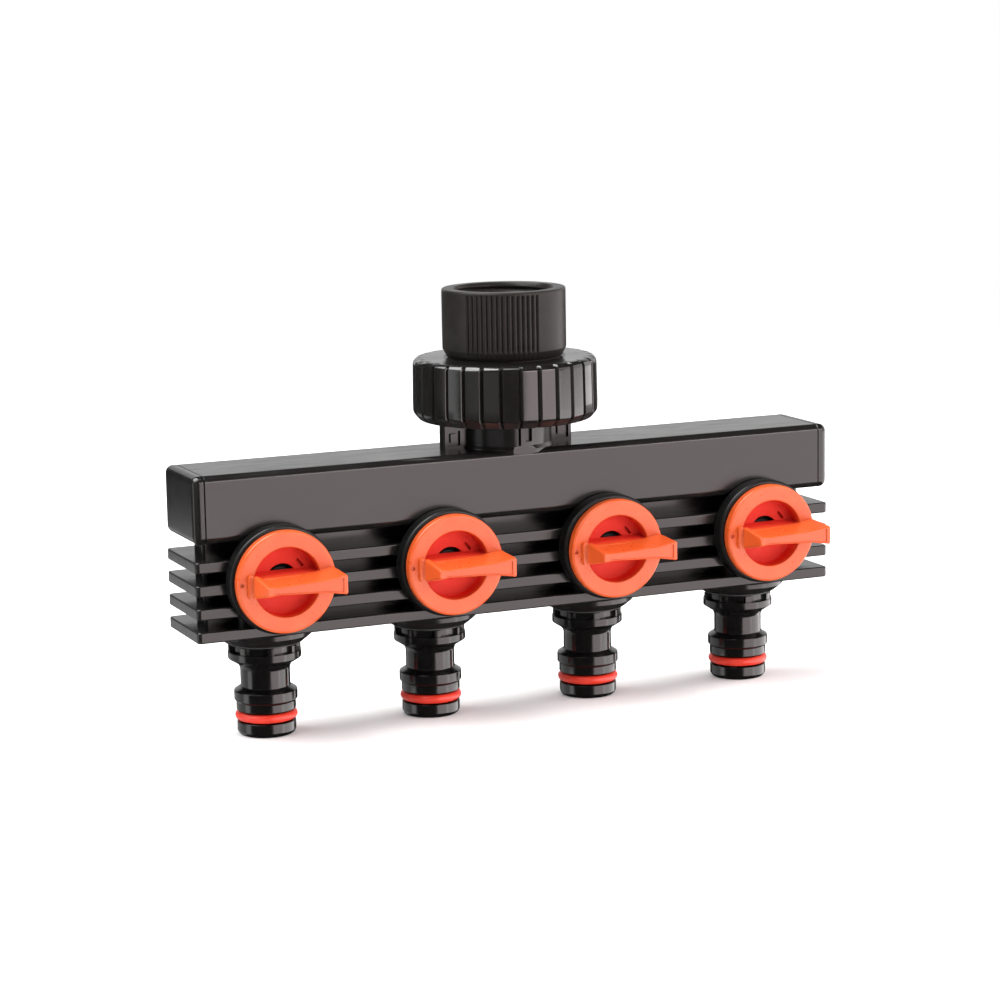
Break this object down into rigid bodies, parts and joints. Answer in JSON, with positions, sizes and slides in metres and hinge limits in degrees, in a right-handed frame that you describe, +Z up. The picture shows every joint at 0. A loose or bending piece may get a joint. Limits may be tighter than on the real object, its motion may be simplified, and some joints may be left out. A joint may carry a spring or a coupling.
{
  "type": "hose splitter",
  "caption": "Garden tap manifold: ribbed beam with a swivel inlet nut on top, quarter-turn knobs in front and quick-click hose spigots below.",
  "frame": {"origin": "centre of the inlet adaptor's mouth, in the plane of its top rim, where the garden tap screws in", "axes": "+X along the beam in the direction the shut handles point, -Y towards the knobs, +Z up out of the inlet"},
  "size_m": [0.181, 0.0538, 0.1117],
  "materials": {
    "body_plastic": "black moulded plastic, satin gloss with a fine moulded grain",
    "nut_plastic": "black moulded plastic, glossy on the ribs",
    "adaptor_plastic": "black moulded plastic, glossy",
    "spigot_plastic": "black moulded plastic, glossy",
    "collar_plastic": "black moulded plastic, satin",
    "valve_plastic": "black acetal, turned smooth and greased",
    "ring_plastic": "natural acetal, satin",
    "knob_plastic": "orange moulded plastic, satin",
    "oring_red": "orange-red rubber, lightly greased",
    "seal_rubber": "black nitrile rubber"
  },
  "bodies": {
    "manifold": {"manifold_beam": "body_plastic", "manifold_neck": "body_plastic", "tap_housing_1": "body_plastic", "tap_housing_2": "body_plastic", "tap_housing_3": "body_plastic", "tap_housing_4": "body_plastic", "fin_bank_1": "body_plastic", "fin_bank_2": "body_plastic", "fin_bank_3": "body_plastic", "fin_bank_4": "body_plastic", "fin_bank_5": "body_plastic", "end_cap_left": "body_plastic", "end_cap_right": "body_plastic", "nut_retaining_ring": "ring_plastic", "union_washer": "seal_rubber", "tap_collar_1": "collar_plastic", "tap_collar_2": "collar_plastic", "tap_collar_3": "collar_plastic", "tap_collar_4": "collar_plastic", "port_seal_1": "seal_rubber", "port_seal_2": "seal_rubber", "port_seal_3": "seal_rubber", "port_seal_4": "seal_rubber", "hose_spigot_1": "spigot_plastic", "hose_spigot_2": "spigot_plastic", "hose_spigot_3": "spigot_plastic", "hose_spigot_4": "spigot_plastic", "spigot_oring_1": "oring_red", "spigot_oring_2": "oring_red", "spigot_oring_3": "oring_red", "spigot_oring_4": "oring_red", "spigot_gasket_1": "seal_rubber", "spigot_gasket_2": "seal_rubber", "spigot_gasket_3": "seal_rubber", "spigot_gasket_4": "seal_rubber"},
    "tap_1": {"knob_1": "knob_plastic", "valve_plug_1": "valve_plastic", "plug_front_oring_1": "seal_rubber", "plug_rear_oring_1": "seal_rubber"},
    "tap_2": {"knob_2": "knob_plastic", "valve_plug_2": "valve_plastic", "plug_front_oring_2": "seal_rubber", "plug_rear_oring_2": "seal_rubber"},
    "tap_3": {"knob_3": "knob_plastic", "valve_plug_3": "valve_plastic", "plug_front_oring_3": "seal_rubber", "plug_rear_oring_3": "seal_rubber"},
    "tap_4": {"knob_4": "knob_plastic", "valve_plug_4": "valve_plastic", "plug_front_oring_4": "seal_rubber", "plug_rear_oring_4": "seal_rubber"},
    "swivel_nut": {"union_nut": "nut_plastic"},
    "adaptor": {"inlet_adaptor": "adaptor_plastic", "tap_washer": "seal_rubber"}
  },
  "joints": [
    {"name": "tap_1_turn", "type": "hinge", "parent": "manifold", "child": "tap_1", "pos_m": [-0.069, 0, -0.0687], "axis": [0, 1, 0], "range_deg": [0, 90]},
    {"name": "tap_2_turn", "type": "hinge", "parent": "manifold", "child": "tap_2", "pos_m": [-0.023, 0, -0.0687], "axis": [0, 1, 0], "range_deg": [0, 90]},
    {"name": "tap_3_turn", "type": "hinge", "parent": "manifold", "child": "tap_3", "pos_m": [0.023, 0, -0.0687], "axis": [0, 1, 0], "range_deg": [0, 90]},
    {"name": "tap_4_turn", "type": "hinge", "parent": "manifold", "child": "tap_4", "pos_m": [0.069, 0, -0.0687], "axis": [0, 1, 0], "range_deg": [0, 90]},
    {"name": "nut_swivel", "type": "hinge", "parent": "manifold", "child": "swivel_nut", "pos_m": [0, 0, -0.0262], "axis": [0, 0, 1], "continuous": true},
    {"name": "adaptor_screw", "type": "hinge", "parent": "swivel_nut", "child": "adaptor", "pos_m": [0, 0, -0.0175], "axis": [0, 0, 1], "continuous": true}
  ]
}
